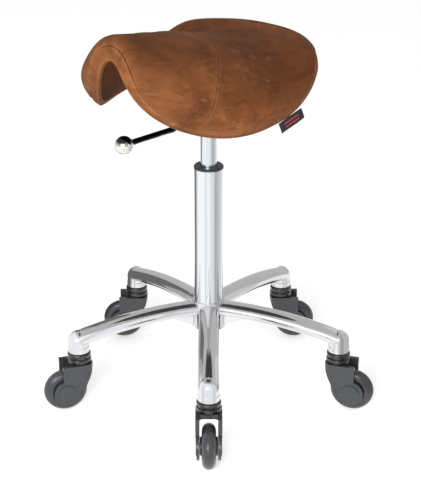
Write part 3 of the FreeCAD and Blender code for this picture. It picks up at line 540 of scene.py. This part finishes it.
def leather(name, light, mid, dark, wear_colour, rough=(0.50, 0.68)):
    """Waxed pull-up leather: clouded colour, lighter wear at the seams, fine pebble grain, soft creases."""
    material, tree, shader = new_material(name)
    vector = coords(tree)
    cloud = noise(tree, coords(tree, (1.0, 1.6, 1.0)), 7.0, 7.0, 0.62, 0.8)
    patch = noise(tree, coords(tree, (1.0, 1.0, 1.6)), 17.0, 6.0, 0.66, 1.0)
    base = ramp(tree, cloud, [(0.36, dark), (0.50, mid), (0.64, light)])
    second = ramp(tree, patch, [(0.36, dark), (0.5, mid), (0.64, light)])
    colour = mix(tree, 0.45, base, second)
    fleck = noise(tree, vector, 120.0, 4.0, 0.7, 0.6)
    colour = mix(tree, remap(tree, fleck, 0.54, 0.72, 0.0, 0.22), colour, light)
    grain_way = coords(tree, (1.1, 1.1, 4.0), turn=(0.0, 0.0, 0.8))
    streaks = noise(tree, grain_way, 15.0, 8.0, 0.74, 1.4)
    colour = mix(tree, remap(tree, streaks, 0.56, 0.68, 0.0, 0.55), colour, wear_colour)
    burnt = remap(tree, noise(tree, grain_way, 11.0, 7.0, 0.72, 0.9), 0.55, 0.72, 0.0, 0.55)
    colour = mix(tree, burnt, colour, tuple(0.70 * part for part in dark))
    worn = math_node(tree, "MULTIPLY", attribute(tree, "wear"), remap(tree, patch, 0.35, 0.65, 0.10, 0.55))
    colour = mix(tree, worn, colour, wear_colour)
    # Painted shade: the leather is darkened in the patches that the painted-shade attribute marks.
    uneven = math_node(tree, "MULTIPLY", attribute(tree, "painted_shade"), remap(tree, cloud, 0.35, 0.65, 0.75, 1.25))
    colour = mix(tree, uneven, colour, tuple(0.62 * part for part in dark))
    tree.links.new(colour, shader.inputs["Base Color"])
    tree.links.new(remap(tree, patch, 0.3, 0.7, rough[0], rough[1]), shader.inputs["Roughness"])
    shader.inputs["Specular IOR Level"].default_value = LEATHER_GLOSS
    cells = add(tree, "ShaderNodeTexVoronoi", Scale=900.0)
    cells.feature = "DISTANCE_TO_EDGE"
    tree.links.new(vector, cells.inputs["Vector"])
    grain = ramp(tree, cells.outputs["Distance"], [(0.0, (0, 0, 0)), (0.12, (1, 1, 1))])
    crease = noise(tree, coords(tree, (1.0, 2.4, 1.0)), 60.0, 5.0, 0.6, 1.2)
    broad = noise(tree, vector, 26.0, 3.0, 0.5, 0.3)
    bump(tree, shader, [(broad, 0.22, 0.004), (crease, 0.25, 0.0010), (grain, 0.35, 0.00018)])
    return material


def metal(name, colour, rough, spread, streak=(1, 1, 1), dirt=0.0):
    """Polished or satin metal with faint variation in its gloss and surface."""
    material, tree, shader = new_material(name)
    shader.inputs["Metallic"].default_value = 1.0
    vector = coords(tree, streak)
    haze = noise(tree, vector, 40.0, 4.0, 0.6)
    dull = tuple(c * (1 - dirt) for c in colour)
    tint = ramp(tree, noise(tree, coords(tree), 14.0, 3.0), [(0.35, dull), (0.65, colour)])
    tree.links.new(tint, shader.inputs["Base Color"])
    tree.links.new(remap(tree, haze, 0.3, 0.7, rough, rough + spread), shader.inputs["Roughness"])
    wave = noise(tree, vector, 18.0, 2.0, 0.4)
    fine = noise(tree, vector, 900.0, 2.0, 0.5)
    bump(tree, shader, [(wave, 0.05, 0.0012), (fine, 0.02, 0.0001)])
    return material


def shaded_metal(name, under, above, low, high, rough):
    """Bright metal with a dark upper side and a smudged line between the two.

    The dark upper side is a painted reflection: it stands for the seat's underside, which polished metal
    right under the seat mirrors. The surface goes dark as its normal's Z rises from low to high.
    """
    material, tree, shader = new_material(name)
    shader.inputs["Metallic"].default_value = 1.0
    facing = tree.nodes.new("ShaderNodeTexCoord")
    split = tree.nodes.new("ShaderNodeSeparateXYZ")
    tree.links.new(facing.outputs["Normal"], split.inputs["Vector"])
    smudge = noise(tree, coords(tree), 70.0, 4.0, 0.6, 0.6)
    level = math_node(tree, "ADD", split.outputs["Z"], remap(tree, smudge, 0.3, 0.7, -0.12, 0.12))
    colour = ramp(tree, remap(tree, level, low, high, 0.0, 1.0), [(0.0, under), (1.0, above)])
    tree.links.new(colour, shader.inputs["Base Color"])
    haze = noise(tree, coords(tree), 45.0, 4.0, 0.6)
    tree.links.new(remap(tree, haze, 0.3, 0.7, rough, rough + 0.06), shader.inputs["Roughness"])
    fine = noise(tree, coords(tree), 900.0, 2.0, 0.5)
    bump(tree, shader, [(haze, 0.05, 0.001), (fine, 0.02, 0.0001)])
    return material


def plastic(name, colour, rough, spread, grain_scale, grain_strength, coat=0.0):
    """Moulded plastic: slight colour drift, fine moulded texture, uneven gloss."""
    material, tree, shader = new_material(name)
    vector = coords(tree)
    drift = noise(tree, vector, 60.0, 4.0, 0.6)
    dark, light = tuple(c * 0.82 for c in colour), tuple(min(1, c * 1.15) for c in colour)
    tint = ramp(tree, drift, [(0.3, dark), (0.7, light)])
    tree.links.new(tint, shader.inputs["Base Color"])
    smear = noise(tree, coords(tree, (1, 1, 2)), 120.0, 4.0, 0.7, 0.5)
    tree.links.new(remap(tree, smear, 0.3, 0.7, rough, rough + spread), shader.inputs["Roughness"])
    shader.inputs["Coat Weight"].default_value = coat
    shader.inputs["Coat Roughness"].default_value = 0.08
    grain = noise(tree, vector, grain_scale, 3.0, 0.6)
    bump(tree, shader, [(grain, grain_strength, 0.0002)])
    return material


def woven(name, colour, stripe):
    """Woven tag: tight over-and-under threads, with two plain stripes."""
    material, tree, shader = new_material(name)
    vector = coords(tree)
    warp = add(tree, "ShaderNodeTexWave", Scale=900.0)
    weft = add(tree, "ShaderNodeTexWave", Scale=900.0)
    warp.bands_direction, weft.bands_direction = "Z", "DIAGONAL"
    tree.links.new(vector, warp.inputs["Vector"])
    tree.links.new(vector, weft.inputs["Vector"])
    cloth = math_node(tree, "MULTIPLY", warp.outputs["Fac"], weft.outputs["Fac"])
    base = mix(tree, cloth, tuple(c * 0.6 for c in colour), tuple(min(1, c * 2.2) for c in colour))

    def distance(value, place):
        return math_node(tree, "ABSOLUTE", math_node(tree, "SUBTRACT", value, place))

    inside = math_node(tree, "LESS_THAN", distance(attribute(tree, "across"), 0.5), 0.30)
    line = math_node(tree, "LESS_THAN", distance(distance(attribute(tree, "down"), 0.5), 0.16), 0.05)
    mark = math_node(tree, "MULTIPLY", inside, line)
    tree.links.new(mix(tree, mark, base, stripe), shader.inputs["Base Color"])
    shader.inputs["Roughness"].default_value = 0.75
    bump(tree, shader, [(cloth, 0.5, 0.0002)])
    return material


def wood(name, light, dark):
    """Wood with wavy growth rings."""
    material, tree, shader = new_material(name)
    rings = add(tree, "ShaderNodeTexWave", Scale=60.0, Distortion=6.0, Detail=3.0)
    tree.links.new(coords(tree, (1, 0.15, 1)), rings.inputs["Vector"])
    tree.links.new(mix(tree, rings.outputs["Fac"], light, dark), shader.inputs["Base Color"])
    shader.inputs["Roughness"].default_value = 0.6
    bump(tree, shader, [(rings.outputs["Fac"], 0.2, 0.0003)])
    return material


TAN = leather("tan_leather", (0.205, 0.076, 0.027), (0.136, 0.047, 0.017), (0.080, 0.027, 0.011),
              (0.300, 0.128, 0.050))
LINED = leather("lining_leather", (0.105, 0.036, 0.014), (0.080, 0.027, 0.011), (0.052, 0.018, 0.008),
                (0.075, 0.030, 0.014), (0.80, 0.92))
THREAD = plastic("stitch_thread", (0.20, 0.075, 0.03), 0.6, 0.2, 4000.0, 0.3)
ALLOY = metal("polished_aluminium", (0.68, 0.68, 0.69), 0.07, 0.07, dirt=0.04)
CHROME = metal("chrome_tube", (0.74, 0.75, 0.76), 0.035, 0.03)
SATIN = metal("satin_cylinder", (0.70, 0.71, 0.72), 0.17, 0.08, (1, 1, 0.1))
# The lever and knob carry a painted reflection: their upper sides are painted dark for the seat's underside
# above them.
NICKEL = shaded_metal("lever_nickel", (0.62, 0.60, 0.56), (0.012, 0.012, 0.013), -0.62, -0.22, 0.10)
KNOB = shaded_metal("knob_chrome", (0.78, 0.75, 0.69), (0.05, 0.05, 0.05), 0.30, 0.62, 0.06)
STEEL = metal("plain_steel", (0.55, 0.56, 0.58), 0.28, 0.15, dirt=0.15)
BLACKS = plastic("black_plastic", (0.022, 0.022, 0.024), 0.32, 0.2, 900.0, 0.15)
POWDER = plastic("black_steel", (0.018, 0.018, 0.019), 0.42, 0.18, 1400.0, 0.5)
GREY = plastic("grey_plastic", (0.026, 0.028, 0.031), 0.22, 0.14, 1500.0, 0.25, 0.2)
GLOSS = plastic("gloss_black", (0.006, 0.006, 0.007), 0.10, 0.08, 600.0, 0.05, 0.4)
TYRE = plastic("tyre_grey", (0.026, 0.027, 0.030), 0.16, 0.10, 700.0, 0.10, 0.15)
TAG = woven("woven_tag", (0.006, 0.006, 0.008), (0.36, 0.015, 0.015))
PLY = wood("plywood", (0.55, 0.38, 0.22), (0.36, 0.22, 0.12))
BLOCK = wood("block_wood", (0.45, 0.30, 0.17), (0.30, 0.18, 0.10))
FOAM = plastic("foam", (0.75, 0.70, 0.50), 0.8, 0.1, 900.0, 0.8)


def paint(node, material):
    """Give a CAD piece its material, in every slot it has."""
    obj = NODES[node]
    if not obj.material_slots:
        obj.data.materials.append(material)
    for place in obj.material_slots:
        place.material = material


PAINT = {
    "star_base": ALLOY, "column_tube": CHROME, "guide_bush": BLACKS, "thrust_bearing": STEEL,
    "piston_rod": STEEL, "piston": STEEL, "rod_clip": STEEL, "gas_cylinder": SATIN, "valve_pin": STEEL,
    "mechanism_plate": POWDER, "mechanism_channel": POWDER, "taper_socket": POWDER, "lever_pivot": STEEL,
    "lever_rod": NICKEL, "lever_ball": KNOB, "mount_block": BLOCK, "seat_bolts": STEEL, "tee_nuts": STEEL,
    "seat_shell": PLY, "seat_foam": FOAM,
}
for number in range(1, 6):
    for piece, material in (("stem", STEEL), ("axle", STEEL), ("fork", GREY), ("hub", GREY), ("caps", GREY),
                            ("collar", GLOSS), ("tyre", TYRE)):
        PAINT["caster_%d_%s" % (number, piece)] = material
for node, material in PAINT.items():
    paint(node, material)

# ------------------------------------------------ seat pieces
front = panel("seat_front_panel", FRONT_MID, True)
rear = panel("seat_rear_panel", REAR_MID, False)
edge = band()
lining = underside()
thread = seam_stitches()
tag = label()
for obj, material, place in (
        (front, TAN, "tan_leather"), (rear, TAN, "tan_leather"), (edge, TAN, "tan_leather"),
        (lining, LINED, "lining_leather"), (thread, THREAD, "tan_leather"), (tag, TAG, "woven_tag")):
    obj.data.materials.append(material)
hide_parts("cover_front", "seat_foam")
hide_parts("cover_rear")
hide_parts("cover_band")
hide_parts("underside_cover")
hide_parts("seat_label")


# ------------------------------------------------ stage, lights, camera
CAMERA_AZIMUTH, CAMERA_PITCH = math.radians(45.0), math.radians(23.65)
CAMERA_OUT, CAMERA_UP = 1.943, 1.130        # metres from the column and above the floor
CAMERA_LENS, SENSOR = 90.70225873, 36.0     # millimetres
AIM_RIGHT = 0.001466993                     # the view's aim right of the column, for each metre of distance
TOWARD = Vector((math.sin(CAMERA_AZIMUTH), -math.cos(CAMERA_AZIMUTH), 0))
RIGHT = Vector((math.cos(CAMERA_AZIMUTH), math.sin(CAMERA_AZIMUTH), 0))


def stage_mesh(name, verts, faces, material):
    """A mesh that is part of the studio and not of the object."""
    mesh = bpy.data.meshes.new(name)
    mesh.from_pydata(verts, [], faces)
    mesh.materials.append(material)
    obj = bpy.data.objects.new(name, mesh)
    bpy.context.scene.collection.objects.link(obj)
    return obj


def floor():
    """The pale studio floor, which glows a little so that it stays even."""
    colour, half = (0.93, 0.93, 0.93, 1), 7.0
    material, _, shader = new_material("floor")
    shader.inputs["Base Color"].default_value = colour
    shader.inputs["Roughness"].default_value = 0.8
    shader.inputs["Emission Color"].default_value = colour
    shader.inputs["Emission Strength"].default_value = 0.36
    corners = [(-half, -half, 0), (half, -half, 0), (half, half, 0), (-half, half, 0)]
    stage_mesh("floor", corners, [(0, 1, 2, 3)], material)


floor()


def area_light(name, place, aim, width, height, power):
    """A rectangular light, aimed at a point."""
    data = bpy.data.lights.new(name, "AREA")
    data.shape = "RECTANGLE"
    data.size, data.size_y, data.energy = width, height, power
    obj = bpy.data.objects.new(name, data)
    bpy.context.scene.collection.objects.link(obj)
    obj.location = place
    obj.rotation_euler = (Vector(aim) - Vector(place)).to_track_quat("-Z", "Y").to_euler()


def at(right, toward, up):
    """A point of the studio: metres right of the column, towards the camera and above the floor."""
    return RIGHT * right + TOWARD * toward + Vector((0, 0, up))


area_light("key_softbox", at(-0.9, 2.9, 1.35), (0, 0, 0.5), 1.8, 1.2, 112)
area_light("fill_softbox", at(2.4, 1.0, 1.3), (0, 0, 0.45), 1.2, 1.2, 4)

world = bpy.data.worlds.new("studio")
bpy.context.scene.world = world
world.use_nodes = True
world.node_tree.nodes["Background"].inputs["Color"].default_value = (1, 1, 1, 1)
world.node_tree.nodes["Background"].inputs["Strength"].default_value = 0.64


def glowing_card(name, verts, faces, colour, glow):
    """A card of an even glow that only reflections see."""
    material, tree, shader = new_material(name)
    shader.inputs["Base Color"].default_value = (0, 0, 0, 1)
    shader.inputs["Specular IOR Level"].default_value = 0.0
    shader.inputs["Emission Color"].default_value = (*colour, 1)
    shader.inputs["Emission Strength"].default_value = glow
    obj = stage_mesh(name, verts, faces, material)
    obj.visible_camera = obj.visible_diffuse = obj.visible_shadow = obj.visible_transmission = False
    return tree, shader


def grey_flag(name, start, stop, glow, radius=0.335, low=0.012, high=0.46):
    """A curved flag round the stool, from one bearing to another in degrees, for the metal to mirror."""
    steps = max(2, int(abs(stop - start) / 3))
    verts = []
    for k in range(steps + 1):
        bearing = math.radians(start + (stop - start) * k / steps)
        spot = (TOWARD * math.cos(bearing) + RIGHT * math.sin(bearing)) * radius
        verts += [tuple(spot + Vector((0, 0, low))), tuple(spot + Vector((0, 0, high)))]
    faces = [(2 * k, 2 * k + 2, 2 * k + 3, 2 * k + 1) for k in range(steps)]
    glowing_card(name, verts, faces, (0.97, 0.985, 1.0), glow)


for number, (start, stop, glow) in enumerate((
        (-142, -116, 0.20), (-116, -104, 0.55), (-104, -90, 1.02), (-90, -29, 1.27), (-29, -18, 0.98),
        (-18, 14, 1.20), (14, 20, 0.86), (20, 34, 1.02), (34, 48, 0.84), (48, 64, 0.52), (64, 70, 0.72),
        (70, 92, 0.68), (92, 118, 0.84))):
    grey_flag("grey_flag_%d" % number, start, stop, glow)


def shade_card(name, radius, height, glow):
    """A round dark card under the seat for the arms to mirror, clear from above."""
    turns = [math.radians(a) for a in range(0, 360, 6)]
    verts = [(radius * math.cos(turn), radius * math.sin(turn), height) for turn in turns]
    tree, shader = glowing_card(name, verts, [tuple(range(len(verts)))], (0.94, 0.97, 1.0), glow)
    side = tree.nodes.new("ShaderNodeNewGeometry")
    clear = tree.nodes.new("ShaderNodeBsdfTransparent")
    either = tree.nodes.new("ShaderNodeMixShader")
    tree.links.new(side.outputs["Backfacing"], either.inputs[0])
    tree.links.new(clear.outputs["BSDF"], either.inputs[1])
    tree.links.new(shader.outputs["BSDF"], either.inputs[2])
    tree.links.new(either.outputs["Shader"], tree.nodes["Material Output"].inputs["Surface"])


shade_card("shade_card", 0.165, 0.513, 0.07)

camera_data = bpy.data.cameras.new("camera")
camera_data.sensor_fit = "AUTO"
camera_data.sensor_width = SENSOR
camera_data.lens = CAMERA_LENS
camera = bpy.data.objects.new("camera", camera_data)
bpy.context.scene.collection.objects.link(camera)
camera.location = TOWARD * CAMERA_OUT + Vector((0, 0, CAMERA_UP))
view = Vector((0, 0, -math.sin(CAMERA_PITCH))) - TOWARD * math.cos(CAMERA_PITCH) + RIGHT * AIM_RIGHT
camera.rotation_euler = view.to_track_quat("-Z", "Y").to_euler()
bpy.context.scene.camera = camera
bpy.context.scene.view_settings.view_transform = "Standard"
